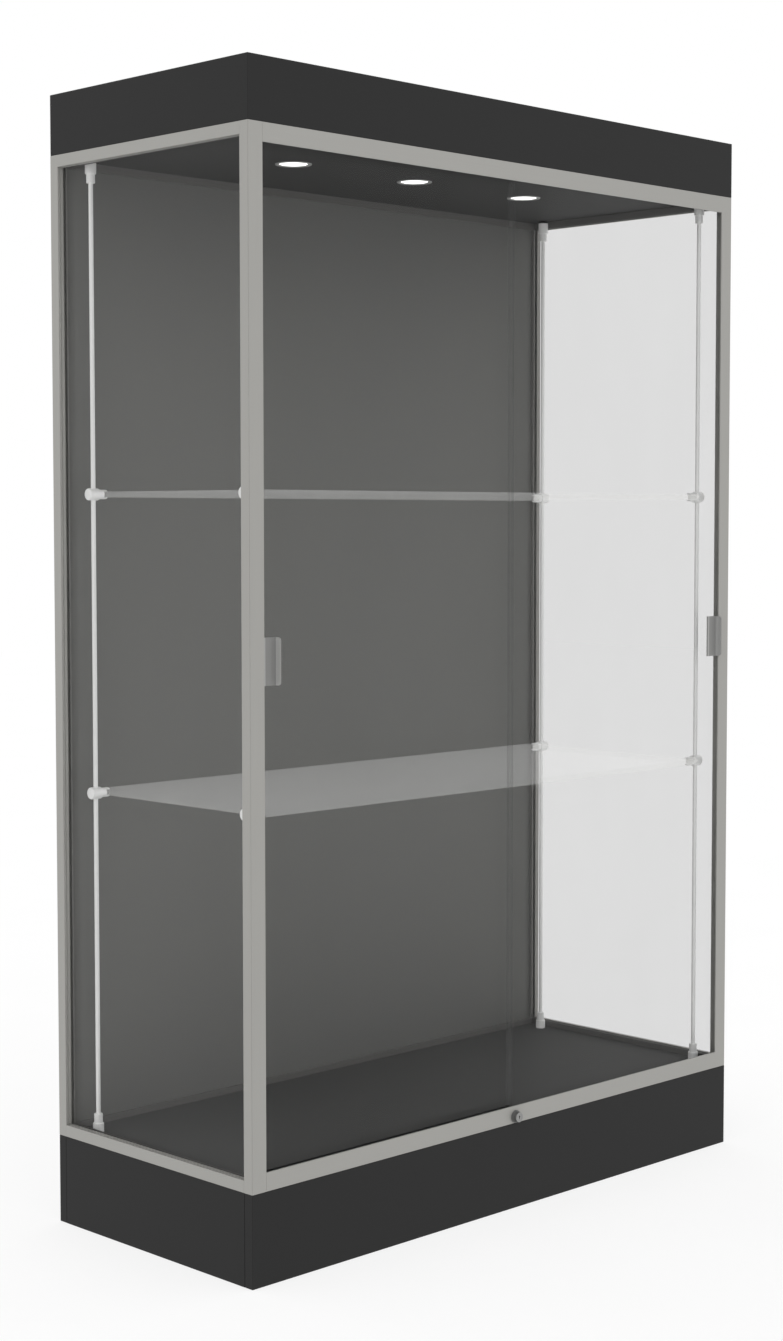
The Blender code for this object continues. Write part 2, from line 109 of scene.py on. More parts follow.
class Mat:
    """A node-based Principled material, with helpers for procedural detail."""

    def __init__(self, name, rgb, rough, metal=0.0, spec=0.5, ior=1.5):
        self.m = bpy.data.materials.new(name)
        self.m.use_nodes = True
        self.t = self.m.node_tree
        self.n, self.l = self.t.nodes, self.t.links
        self.b = self.n["Principled BSDF"]
        self.out = self.n["Material Output"]
        self.rgb = rgb
        self.b.inputs["Base Color"].default_value = (*rgb, 1.0)
        self.b.inputs["Roughness"].default_value = rough
        self.b.inputs["Metallic"].default_value = metal
        self.b.inputs["Specular IOR Level"].default_value = spec
        self.b.inputs["IOR"].default_value = ior
        self.m.diffuse_color = (*rgb, 1.0)
        self._coord = None

    def coord(self, scale=(1, 1, 1)):
        if self._coord is None:
            self._coord = self.n.new("ShaderNodeTexCoord")
        mp = self.n.new("ShaderNodeMapping")
        mp.inputs["Scale"].default_value = scale
        self.l.new(self._coord.outputs["Object"], mp.inputs["Vector"])
        return mp.outputs["Vector"]

    def noise(self, vec, scale, detail=4.0, rough=0.55, distortion=0.0):
        t = self.n.new("ShaderNodeTexNoise")
        t.inputs["Scale"].default_value = scale
        t.inputs["Detail"].default_value = detail
        t.inputs["Roughness"].default_value = rough
        t.inputs["Distortion"].default_value = distortion
        self.l.new(vec, t.inputs["Vector"])
        return t.outputs["Fac"]

    def ramp(self, fac, stops):
        r = self.n.new("ShaderNodeValToRGB")
        e = r.color_ramp.elements
        e[0].position, e[0].color = stops[0][0], stops[0][1]
        e[1].position, e[1].color = stops[-1][0], stops[-1][1]
        for p, c in stops[1:-1]:
            x = e.new(p)
            x.color = c
        self.l.new(fac, r.inputs["Fac"])
        return r.outputs["Color"]

    def tone(self, fac, low, high, lo_at=0.3, hi_at=0.7):
        """Base colour times low..high as fac runs lo_at..hi_at."""
        a = tuple(c * low for c in self.rgb) + (1.0,)
        b = tuple(c * high for c in self.rgb) + (1.0,)
        return self.ramp(fac, [(lo_at, a), (hi_at, b)])

    def mixc(self, a, b, fac, kind='MIX'):
        m = self.n.new("ShaderNodeMix")
        m.data_type = 'RGBA'
        m.blend_type = kind
        if isinstance(fac, float):
            m.inputs[0].default_value = fac
        else:
            self.l.new(fac, m.inputs[0])
        self.l.new(a, m.inputs[6])
        self.l.new(b, m.inputs[7])
        return m.outputs[2]

    def math(self, op, a, b=None, c=None, clamp=False):
        m = self.n.new("ShaderNodeMath")
        m.operation = op
        m.use_clamp = clamp
        for k, v in enumerate((a, b, c)):
            if v is None:
                continue
            if isinstance(v, (int, float)):
                m.inputs[k].default_value = v
            else:
                self.l.new(v, m.inputs[k])
        return m.outputs[0]

    def remap(self, fac, lo, hi, lo_at=0.3, hi_at=0.7):
        m = self.n.new("ShaderNodeMapRange")
        m.inputs["From Min"].default_value = lo_at
        m.inputs["From Max"].default_value = hi_at
        m.inputs["To Min"].default_value = lo
        m.inputs["To Max"].default_value = hi
        self.l.new(fac, m.inputs["Value"])
        return m.outputs["Result"]

    def colour(self, out):
        self.l.new(out, self.b.inputs["Base Color"])

    def roughness(self, out):
        self.l.new(out, self.b.inputs["Roughness"])

    def bump(self, height, strength, distance_mm):
        b = self.n.new("ShaderNodeBump")
        b.inputs["Strength"].default_value = strength
        b.inputs["Distance"].default_value = distance_mm * MM
        self.l.new(height, b.inputs["Height"])
        self.l.new(b.outputs["Normal"], self.b.inputs["Normal"])
        return b


def laminate(name, rgb, rough, spec, grain=None):
    """Matt melamine: a fine pebbled emboss, faint speckle, and a slow drift of
    tone. grain = an axis to run a barely visible straight grain along."""
    m = Mat(name, rgb, rough, spec=spec)
    v = m.coord()
    fine = m.noise(v, 850.0, 3.0, 0.6)
    slow = m.noise(v, 2.2, 3.0, 0.5)
    speck = m.noise(v, 2600.0, 1.0, 0.5)
    c = m.mixc(m.tone(slow, 0.96, 1.04), m.tone(fine, 0.86, 1.16), 0.5)
    c = m.mixc(c, m.tone(speck, 0.9, 1.12), 0.35)
    height = fine
    if grain is not None:
        s = [70.0, 70.0, 70.0]
        s["XYZ".index(grain)] = 2.4
        g = m.noise(m.coord(s), 1.0, 6.0, 0.62, 0.25)
        s2 = [420.0, 420.0, 420.0]
        s2["XYZ".index(grain)] = 9.0
        pores = m.noise(m.coord(s2), 1.0, 3.0, 0.6)
        c = m.mixc(c, m.tone(g, 0.84, 1.2, 0.35, 0.68), 0.45)
        c = m.mixc(c, m.tone(pores, 0.84, 1.12, 0.35, 0.65), 0.3)
        height = m.math('ADD', m.math('MULTIPLY', pores, 0.7), m.math('MULTIPLY', fine, 0.5))
    m.colour(c)
    m.roughness(m.remap(fine, rough - 0.06, rough + 0.08))
    m.bump(height, 0.22, 0.05)
    return m.m


def metal(name, rgb, rough, axis=None, metallic=1.0, brush=0.10, spec=0.5):
    """Satin anodised or plated metal: fine draw lines along an axis, or an even
    bead-blasted grain when there is none, with a slow variation of the sheen."""
    m = Mat(name, rgb, rough, metallic, spec)
    if axis is not None:
        s = [1500.0, 1500.0, 1500.0]
        s["XYZ".index(axis)] = 5.0
        lines = m.noise(m.coord(s), 1.0, 4.0, 0.6)
    else:
        lines = m.noise(m.coord(), 1700.0, 3.0, 0.6)
    slow = m.noise(m.coord(), 4.0, 3.0, 0.5)
    grit = m.noise(m.coord(), 3200.0, 1.0, 0.5)
    c = m.mixc(m.tone(lines, 1 - brush, 1 + brush), m.tone(slow, 0.975, 1.025), 0.5)
    c = m.mixc(c, m.tone(grit, 0.93, 1.07), 0.3)
    m.colour(c)
    m.roughness(m.remap(lines, rough - 0.05, rough + 0.07))
    m.bump(lines, 0.12, 0.02)
    return m.m


def pane(name, tint, mirror, film=0.0, film_rgb=(0.8, 0.8, 0.8), rough=0.02, clear_film=None, glow=0.0):
    """Clear glass seen through both faces: a neutral tint at each face, the
    weak mirror of a coated pane, and a thin film that scatters light. With
    clear_film the film thins to that where the face is met head on. glow is
    painted light: an emission on the film, stronger towards grazing."""
    m = Mat(name, tint, rough)
    n, l = m.n, m.l
    n.remove(m.b)
    smear = m.noise(m.coord((3.0, 3.0, 1.1)), 3.0, 4.0, 0.6, 0.4)
    clear = n.new("ShaderNodeBsdfTransparent")
    lo = tuple(c * 0.997 for c in tint) + (1.0,)
    hi = tuple(min(1.0, c * 1.003) for c in tint) + (1.0,)
    l.new(m.ramp(smear, [(0.3, lo), (0.7, hi)]), clear.inputs["Color"])
    shine = n.new("ShaderNodeBsdfGlossy")
    shine.inputs["Color"].default_value = (1.0, 1.0, 1.0, 1.0)
    l.new(m.remap(smear, rough, rough + 0.03), shine.inputs["Roughness"])
    # a weak mirror head on, that rises towards grazing as glass does, and is
    # the same from both sides of the face
    lay = n.new("ShaderNodeLayerWeight")
    lay.inputs["Blend"].default_value = 0.5
    rise = m.math('POWER', lay.outputs["Facing"], 5.0)
    top = n.new("ShaderNodeMixShader")
    l.new(m.math('MULTIPLY_ADD', rise, mirror, 0.003), top.inputs["Fac"])
    base = clear.outputs[0]
    if film:
        scat = n.new("ShaderNodeBsdfDiffuse")
        scat.inputs["Color"].default_value = (*film_rgb, 1.0)
        back = n.new("ShaderNodeBsdfTranslucent")
        back.inputs["Color"].default_value = (*film_rgb, 1.0)
        both = n.new("ShaderNodeMixShader")
        both.inputs["Fac"].default_value = 0.5
        l.new(scat.outputs[0], both.inputs[1])
        l.new(back.outputs[0], both.inputs[2])
        mix = n.new("ShaderNodeMixShader")
        mix.inputs["Fac"].default_value = film
        if clear_film is not None:
            l.new(m.remap(lay.outputs["Facing"], clear_film, film, 0.3, 0.85), mix.inputs["Fac"])
        l.new(clear.outputs[0], mix.inputs[1])
        l.new(both.outputs[0], mix.inputs[2])
        base = mix.outputs[0]
        if glow:
            # painted light: the film gives off light of its own, more towards grazing where clear_film is set
            painted_glow = n.new("ShaderNodeEmission")
            painted_glow.inputs["Color"].default_value = (1.0, 1.0, 0.99, 1.0)
            grade = m.remap(smear, glow * 0.98, glow * 1.02)
            if clear_film is not None:
                grade = m.math('MULTIPLY', grade, m.remap(lay.outputs["Facing"], 0.25, 1.0, 0.3, 0.85))
            l.new(grade, painted_glow.inputs["Strength"])
            add = n.new("ShaderNodeAddShader")
            l.new(base, add.inputs[0])
            l.new(painted_glow.outputs[0], add.inputs[1])
            base = add.outputs[0]
    l.new(base, top.inputs[1])
    l.new(shine.outputs[0], top.inputs[2])
    l.new(top.outputs[0], m.out.inputs["Surface"])
    return m.m


LAMINATE = laminate("charcoal_laminate", (0.0207, 0.0207, 0.0207), 0.5, 0.13)
DECK = laminate("charcoal_deck_laminate", (0.092, 0.092, 0.0905), 0.62, 0.02, "X")
CEILING = laminate("charcoal_ceiling_laminate", (0.073, 0.073, 0.072), 0.62, 0.02, "X")
BACK = laminate("grey_back_panel", (0.180, 0.181, 0.173), 0.6, 0.08)

BOARD = laminate("raw_particle_board", (0.36, 0.27, 0.17), 0.8, 0.2)
FRAME = {a: metal("satin_aluminium_" + a.lower(), (0.345, 0.340, 0.322), 0.45, a, 0.25, 0.08, 0.3) for a in "XYZ"}
# darker copies of the frame's finish for the faces inside the case: painted shade, less dark on the back posts
FRAME_SHADE = {a: metal("aluminium_inside_" + a.lower(), (0.150, 0.148, 0.142), 0.55, a, 0.10, 0.08, 0.2) for a in "XYZ"}
FRAME_SHADE_BACK = metal("aluminium_inside_back", (0.240, 0.237, 0.228), 0.55, "Z", 0.10, 0.08, 0.2)
NICKEL_Z = metal("satin_nickel_rod", (0.91, 0.91, 0.90), 0.34, "Z", 0.12, 0.025, 0.5)
NICKEL = metal("satin_nickel_clamp", (0.93, 0.93, 0.92), 0.36, None, 0.12, 0.025, 0.5)
for bright in (NICKEL_Z, NICKEL):       # painted light: a faint even glow makes rods and clamps brighter than their lighting gives
    bsdf = bright.node_tree.nodes["Principled BSDF"]
    bsdf.inputs["Emission Color"].default_value = (1.0, 1.0, 0.99, 1.0)
    bsdf.inputs["Emission Strength"].default_value = 0.060
PULL = metal("satin_aluminium_pull", (0.242, 0.242, 0.237), 0.45, "Z", 0.15, 0.08, 0.3)
# lighter and darker copies of the pull's finish, laid on faces as painted light and painted shade
PULL_LIT_PAINTED = metal("satin_aluminium_pull_painted_light", (0.37, 0.37, 0.363), 0.42, "Z", 0.15, 0.08, 0.3)
PULL_LEFT_LIT_PAINTED = metal("satin_aluminium_pull_left_painted_light", (0.52, 0.52, 0.51), 0.4, "Z", 0.15, 0.08, 0.3)
PULL_SHADE_PAINTED = metal("satin_aluminium_pull_painted_shade", (0.20, 0.20, 0.196), 0.5, "Z", 0.15, 0.08, 0.3)
CHROME = metal("lock_nickel", (0.27, 0.27, 0.265), 0.32, None, 0.35, 0.04, 0.4)
LOCK_SHADE_PAINTED = metal("lock_nickel_painted_shade", (0.15, 0.15, 0.147), 0.36, None, 0.35, 0.04, 0.4)
STEEL = metal("zinc_plated_steel", (0.50, 0.50, 0.49), 0.38, None, 0.8, 0.08)
TRIM = metal("downlight_trim_satin", (0.42, 0.42, 0.41), 0.45, None, 0.2, 0.04)

RUBBER = laminate("black_rubber", (0.020, 0.020, 0.020), 0.72, 0.2)
TRACK = metal("black_anodised_track", (0.035, 0.035, 0.036), 0.5, "X", 0.3, 0.12, 0.25)
SHOE = laminate("black_door_shoe", (0.040, 0.040, 0.040), 0.5, 0.25)
INLET = laminate("black_moulded_inlet", (0.02, 0.02, 0.02), 0.45, 0.4)

PANE = pane("case_glass", (0.921, 0.921, 0.921), 0.8)
PANE_EDGE = pane("case_glass_edge", (0.88, 0.885, 0.88), 0.3, 0.06, (0.45, 0.46, 0.455), 0.10)
# the shelves' glass carries a painted glow (the last argument): light of its own on the film
SHELF = pane("shelf_glass", (0.998, 0.998, 0.998), 0.06, 0.105, (0.95, 0.95, 0.945), 0.02, 0.03, 0.063)
SHELF_EDGE = pane("shelf_glass_edge", (0.996, 0.996, 0.992), 0.05, 0.13, (0.90, 0.90, 0.895), 0.10, None, 0.046)

lens = Mat("downlight_lens", (0.95, 0.95, 0.94), 0.35)
lens_rings = lens.noise(lens.coord(), 900.0, 2.0, 0.5)
lens.colour(lens.tone(lens_rings, 0.97, 1.02))
lens.l.new(lens.tone(lens_rings, 1.0, 1.05), lens.b.inputs["Emission Color"])
lens.b.inputs["Emission Strength"].default_value = 2.2
lens.bump(lens_rings, 0.3, 0.1)
LENS = lens.m

# ============================================================= builders =======


def rounded(pts, seg=4, closed=False):
    """(u, v, r) corners to a polyline whose corners are arcs of radius r."""
    out = []
    count = len(pts)
    for i, p in enumerate(pts):
        u, v = p[0], p[1]
        r = p[2] if len(p) > 2 else 0.0
        ends = (not closed) and i in (0, count - 1)
        if r <= 0 or ends:
            out.append((u, v))
            continue
        a, b = pts[i - 1], pts[(i + 1) % count]
        c = Vector((u, v))
        da, db = Vector((a[0] - u, a[1] - v)), Vector((b[0] - u, b[1] - v))
        la, lb = da.length, db.length
        da.normalize()
        db.normalize()
        ang = da.angle(db)
        if ang > pi - 0.01:
            out.append((u, v))
            continue
        d = min(r / max(1e-6, tan(ang / 2)), 0.48 * la, 0.48 * lb)
        p0, p1 = c + da * d, c + db * d
        for k in range(seg + 1):
            t = k / seg
            q = (1 - t) ** 2 * p0 + 2 * t * (1 - t) * c + t * t * p1
            out.append((q.x, q.y))
    return out


def weigh(ob):
    m = ob.modifiers.new("weighted_normals", 'WEIGHTED_NORMAL')
    m.weight = 80
    m.keep_sharp = True


def make(name, bm, mats, body, replaces=(), smooth=None):
    bmesh.ops.scale(bm, vec=(MM, MM, MM), verts=bm.verts)
    bmesh.ops.recalc_face_normals(bm, faces=bm.faces)
    me = bpy.data.meshes.new(name)
    bm.to_mesh(me)
    bm.free()
    for m in (mats if isinstance(mats, (list, tuple)) else [mats]):
        me.materials.append(m)
    ob = bpy.data.objects.new(name, me)
    scene.collection.objects.link(ob)
    if smooth is not None:
        me.shade_smooth()
        me.set_sharp_from_angle(angle=radians(smooth))
        weigh(ob)
    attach(ob, body)
    if replaces:
        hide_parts(*replaces)
    return ob


def turn(profile, axis, centre, segments=48):
    """A bmesh turned about an axis from (radius, station) pairs."""
    ring = profile[0][0] > 0
    to = {"X": Matrix(((0, 0, 1), (1, 0, 0), (0, 1, 0))),
          "Y": Matrix(((1, 0, 0), (0, 0, 1), (0, -1, 0))),
          "Z": Matrix.Identity(3)}[axis]
    bm = bmesh.new()
    rows = []
    for r, t in profile:
        if r <= 1e-9:
            rows.append([bm.verts.new((0, 0, t))])
        else:
            rows.append([bm.verts.new((r * cos(2 * pi * k / segments), r * sin(2 * pi * k / segments), t))
                         for k in range(segments)])
    pairs = list(zip(rows, rows[1:])) + ([(rows[-1], rows[0])] if ring else [])
    for a, b in pairs:
        for k in range(segments):
            k2 = (k + 1) % segments
            corner = [a[k % len(a)], a[k2 % len(a)], b[k2 % len(b)], b[k % len(b)]]
            corner = list(dict.fromkeys(corner))
            if len(corner) > 2:
                bm.faces.new(corner)
    bmesh.ops.transform(bm, matrix=to.to_4x4(), verts=bm.verts)
    bmesh.ops.translate(bm, vec=centre, verts=bm.verts)
    return bm


def extrude(outline, axis, a0, a1):
    place = {"X": lambda u, v, a: (a, u, v), "Y": lambda u, v, a: (u, a, v),
             "Z": lambda u, v, a: (u, v, a)}[axis]
    bm = bmesh.new()
    face = bm.faces.new([bm.verts.new(place(u, v, a0)) for u, v in outline])
    new = bmesh.ops.extrude_face_region(bm, geom=[face])["geom"]
    step = Vector(place(0, 0, a1 - a0))
    bmesh.ops.translate(bm, vec=step, verts=[g for g in new if isinstance(g, bmesh.types.BMVert)])
    return bm


def cube(x0, x1, y0, y1, z0, z1):
    bm = bmesh.new()
    bmesh.ops.create_cube(bm, size=1.0)
    bmesh.ops.scale(bm, vec=(x1 - x0, y1 - y0, z1 - z0), verts=bm.verts)
    bmesh.ops.translate(bm, vec=((x0 + x1) / 2, (y0 + y1) / 2, (z0 + z1) / 2), verts=bm.verts)
    return bm


def join(*bms):
    out = bms[0]
    for b in bms[1:]:
        me = bpy.data.meshes.new("join")
        b.to_mesh(me)
        b.free()
        out.from_mesh(me)
        bpy.data.meshes.remove(me)
    return out


def carve(ob, *bms):
    """Boolean differences, applied."""
    for bm in bms:
        bmesh.ops.scale(bm, vec=(MM, MM, MM), verts=bm.verts)
        bmesh.ops.recalc_face_normals(bm, faces=bm.faces)
        me = bpy.data.meshes.new("cutter")
        bm.to_mesh(me)
        bm.free()
        cutter = bpy.data.objects.new("cutter", me)
        scene.collection.objects.link(cutter)
        mod = ob.modifiers.new("cut", 'BOOLEAN')
        mod.operation = 'DIFFERENCE'
        mod.solver = 'EXACT'
        mod.object = cutter
        deps = bpy.context.evaluated_depsgraph_get()
        new = bpy.data.meshes.new_from_object(ob.evaluated_get(deps))
        ob.modifiers.remove(mod)
        old = ob.data
        ob.data = new
        bpy.data.meshes.remove(old)
        bpy.data.objects.remove(cutter, do_unlink=True)
        bpy.data.meshes.remove(me)
    return ob


def resmooth(ob, angle=35):
    ob.data.shade_smooth()
    ob.data.set_sharp_from_angle(angle=radians(angle))
    weigh(ob)


def soft_edges(ob, width, segments=2, angle=35):
    m = ob.modifiers.new("edge_break", 'BEVEL')
    m.width = width * MM
    m.segments = segments
    m.limit_method = 'ANGLE'
    m.angle_limit = radians(angle)
    m.harden_normals = False
    return ob


# ================================================================ glass =======
def glass_pane(name, node, axis, body, face_mat, edge_mat, arris):
    """A pane with ground and polished edges: flat faces, and edges with a
    small arris that carry their own denser look."""
    lo, hi = mm_box(node)
    bm = cube(lo[0], hi[0], lo[1], hi[1], lo[2], hi[2])
    bmesh.ops.bevel(bm, geom=list(bm.edges), offset=arris, segments=2, profile=0.5, affect='EDGES')
    k = "XYZ".index(axis)
    for f in bm.faces:
        f.normal_update()
        f.material_index = 0 if abs(f.normal[k]) > 0.99 else 1
    return make(name, bm, [face_mat, edge_mat], body, [node])


glass_pane("side_pane_left", "side_glass_left", "X", "cabinet", PANE, PANE_EDGE, 0.6)
glass_pane("side_pane_right", "side_glass_right", "X", "cabinet", PANE, PANE_EDGE, 0.6)
glass_pane("door_pane_left", "door_glass_left", "Y", "door_left", PANE, PANE_EDGE, 0.6)
glass_pane("door_pane_right", "door_glass_right", "Y", "door_right", PANE, PANE_EDGE, 0.6)
glass_pane("shelf_plate_lower", "shelf_glass_lower", "Z", "shelf_lower", SHELF, SHELF_EDGE, 0.8)
glass_pane("shelf_plate_upper", "shelf_glass_upper", "Z", "shelf_upper", SHELF, SHELF_EDGE, 0.8)

# ================================================================ frame =======
# The bars again from their sections, with the small radii of an extrusion and
# the hairline joints closed up.
lo, hi = mm_box("post_front_left")
HX, HY, GZ0, GZ1 = -lo[0], -lo[1], lo[2], hi[2]
BAR, LIP, LIP_T, POCKET, GROOVE = 20.0, 10.0, 3.0, 5.0, 6.0
BX, BY = HX - BAR, HY - BAR
GI, GO = HX - 14.0 - 3.3, HX - 5.0          # glazing pocket's walls
PY = 243.3                                  # centre plane of the back panel
JOINT = 0.05


def bar(node, pts, axis, a0, a1):
    bm = extrude(rounded(pts, 3, True), axis, a0, a1)
    inside = FRAME_SHADE_BACK if node.startswith("post_back") else FRAME_SHADE[axis]
    ob = make(node.replace("post", "frame_post").replace("rail", "frame_rail"), bm, [FRAME[axis], inside],
              "cabinet", [node], 35)
    # faces inside the case take the darker copy: painted shade
    for p in ob.data.polygons:
        c = p.center / MM
        if abs(c.x) < GI + 0.2 and -BY - 0.5 < c.y < PY - 3.2 and GZ0 + 2 < c.z < GZ1 - 2:
            p.material_index = 1
    return ob


for side, s in (("left", -1), ("right", 1)):
    # the outer arris carries the fine shadow line where the front and the
    # side of the frame meet
    pts = [(HX, -HY + 0.9, 0.2), (HX - 0.75, -HY + 0.75, 0.0), (HX - 0.9, -HY, 0.2), (BX - LIP, -HY, 0.4),
           (BX - LIP, -HY + LIP_T, 0.3), (BX, -HY + LIP_T, 0.2), (BX, -BY, 0.4), (GI, -BY, 0.2),
           (GI, -BY - POCKET, 0.0), (GO, -BY - POCKET, 0.0), (GO, -BY, 0.2), (HX, -BY, 0.4)]
    bar("post_front_" + side, [(s * x, y, r) for x, y, r in pts], "Z", GZ0, GZ1)
    pts = [(HX, HY, 0.5), (HX, BY, 0.4), (GO, BY, 0.2), (GO, BY + POCKET, 0.0), (GI, BY + POCKET, 0.0), (GI, BY, 0.2),
           (BX, BY, 0.4), (BX, PY - 3.3, 0.2), (BX + GROOVE, PY - 3.3, 0.0), (BX + GROOVE, PY + 3.3, 0.0),
           (BX, PY + 3.3, 0.2), (BX, HY, 0.4)]
    bar("post_back_" + side, [(s * x, y, r) for x, y, r in pts], "Z", GZ0, GZ1)
    for level, z, up in (("bottom", GZ0, 1), ("top", GZ1, -1)):
        pts = [(HX, 0, 0.3), (HX, BAR, 0.4), (GO, BAR, 0.2), (GO, BAR - POCKET, 0.0), (GI, BAR - POCKET, 0.0),
               (GI, BAR, 0.2), (BX, BAR, 0.4), (BX, 0, 0.3)]
        bar("rail_%s_%s" % (level, side), [(s * x, z + up * h, r) for x, h, r in pts], "Y", -BY + JOINT, BY - JOINT)
for level, z, up in (("bottom", GZ0, 1), ("top", GZ1, -1)):
    pts = [(HY, 0, 0.3), (HY, BAR, 0.4), (PY + 3.3, BAR, 0.2), (PY + 3.3, BAR - GROOVE, 0.0),
           (PY - 3.3, BAR - GROOVE, 0.0), (PY - 3.3, BAR, 0.2), (BY, BAR, 0.4), (BY, 0, 0.3)]
    bar("rail_%s_back" % level, [(y, z + up * h, r) for y, h, r in pts], "X", -BX + JOINT, BX - JOINT)
    inner = mm_box("rail_%s_front" % level)[1][1]
    pts = [(-HY, 0, 0.3), (-HY, BAR + LIP + 0.4, 0.4), (-HY + LIP_T, BAR + LIP + 0.4, 0.4), (-HY + LIP_T, LIP_T, 0.3),
           (inner, LIP_T, 0.3), (inner, 0, 0.2)]
    ob = bar("rail_%s_front" % level, [(y, z + up * h, r) for y, h, r in pts], "X", -(BX - LIP) + JOINT,
             BX - LIP - JOINT)
    if level == "bottom":
        a, b = mm_box("lock_housing")
        carve(ob, turn([(0, -HY - 4), (10.3, -HY - 4), (10.3, -HY + 6), (0, -HY + 6)], "Y",
                       ((a[0] + b[0]) / 2, 0, (a[2] + b[2]) / 2), 64))

# ================================================================= rods =======
for end in ("front", "back"):
    for side in ("left", "right"):
        node = "rod_%s_%s" % (end, side)
        lo, hi = mm_box(node)
        cx, cy = (lo[0] + hi[0]) / 2, (lo[1] + hi[1]) / 2
        z0, z1 = lo[2], hi[2]
        zb, zt = 161.5, 1822.0
        prof = rounded([
            (0, z0), (9.5, z0, 0.5), (9.5, zb + 15.8, 0.5), (7.4, zb + 15.8, 0.1), (7.4, zb + 32.3, 0.8), (4.5, zb + 32.3, 0.2), (4.5, zb + 31.6, 0.0),
            (3.9, zb + 31.6, 0.0), (3.9, zt - 40.3, 0.0), (4.5, zt - 40.3, 0.0), (4.5, zt - 41.0, 0.2),
            (7.4, zt - 41.0, 0.8), (7.4, zt - 25.5, 0.1), (9.5, zt - 25.5, 0.5), (9.5, zt - 5.0, 0.5), (5.0, zt - 5.0, 0.2), (5.0, z1, 0.0), (0, z1)], 4)
        rod = make("shelf_rod_%s_%s" % (end, side), turn(prof, "Z", (cx, cy, 0), 48), NICKEL_Z, "cabinet",
                   [node], 32)
        # rubber washer that takes up the last millimetres under the ceiling
        ring = rounded([(5.3, zt - 4.7, 0.2), (8.7, zt - 4.7, 0.6), (8.7, zt - 0.4, 0.6), (5.3, zt - 0.4, 0.2)], 3, True)
        make("rod_washer_%s_%s" % (end, side), turn(ring, "Z", (cx, cy, 0), 40), RUBBER, "cabinet", (), 40)

# =============================================================== clamps =======
for level in ("lower", "upper"):
    for end in ("front", "back"):
        for side, s in (("left", -1), ("right", 1)):
            node = "clamp_%s_%s_%s" % (level, end, side)
            lo, hi = mm_box(node)
            zc, yc = (lo[2] + hi[2]) / 2, (lo[1] + hi[1]) / 2
            st = rounded([(0, 545.0), (8.15, 545.0, 2.2), (8.15, 562.0, 0.3), (8.7, 562.5, 0.0), (10.3, 562.5, 1.2),
                          (10.3, 583.0, 2.6), (0, 583.0)], 5)
            bm = turn([(r, s * x) for r, x in st], "X", (0, yc, zc), 48)
            ob = make("shelf_%s" % node, bm, NICKEL, "shelf_" + level, [node])
            x0, x1 = sorted((s * 540.0, s * 553.7))
            # bore for the rod, slot for the glass, hex socket of the grub screw on the rear
            bore = turn([(0, -20), (4.3, -20), (4.3, 20), (0, 20)], "Z", (s * 571.5, yc, zc), 40)
            slot = cube(x0, x1, yc - 15, yc + 15, zc - 5.05, zc + 5.05)
            hexagon = turn([(0, 7.6), (1.7, 7.6), (1.7, 13.0), (0, 13.0)], "Y", (s * 571.5, yc, zc), 6)
            carve(ob, bore, slot, hexagon)
            resmooth(ob, 30)

# ================================================================= lock =======
lo, hi = mm_box("lock_housing")
LX, LZ = (lo[0] + hi[0]) / 2, (lo[2] + hi[2]) / 2
Y = -254.0
prof = rounded([(3.8, Y + 2.8, 0.1), (10.0, Y + 2.8, 0.3), (10.0, Y - 0.3, 0.0), (11.5, Y - 0.3, 0.1),
                (11.5, Y - 1.2, 0.5), (9.8, Y - 1.4, 0.2), (9.8, Y - 5.3, 0.5), (9.0, Y - 5.3, 0.1),
                (9.0, Y + 1.1, 0.0), (3.8, Y + 1.1, 0.0)], 3, True)
# the barrel takes the darker nickel copy: painted shade
make("lock_barrel", turn(prof, "Y", (LX, 0, LZ), 64), LOCK_SHADE_PAINTED, "cabinet", ["lock_housing"], 32)
prof = rounded([(0, Y + 3.7), (2.9, Y + 3.7, 0.2), (3.5, Y + 3.1, 0.1), (3.5, Y - 4.5, 0.0), (8.8, Y - 4.5, 0.2),
                (8.8, Y - 10.3, 0.9), (6.2, Y - 10.3, 0.2), (6.0, Y - 9.8, 0.1), (0, Y - 9.8)], 4)
plug = make("lock_plug", turn(prof, "Y", (LX, 0, LZ), 64), [LOCK_SHADE_PAINTED, CHROME], "lock", ["lock_plunger"])
carve(plug, cube(LX - 0.65, LX + 0.65, Y - 12, Y - 7.4, LZ - 3.3, LZ + 3.3),
      turn([(0, Y - 12), (1.5, Y - 12), (1.5, Y - 7.4), (0, Y - 7.4)], "Y", (LX, 0, LZ + 1.2), 24))
resmooth(plug, 32)
for p in plug.data.polygons:              # painted shade: the plug's sides take the darker nickel copy, its face the lighter one
    p.material_index = int(p.normal.y < -0.25 and p.center.y / MM < Y - 9.0)

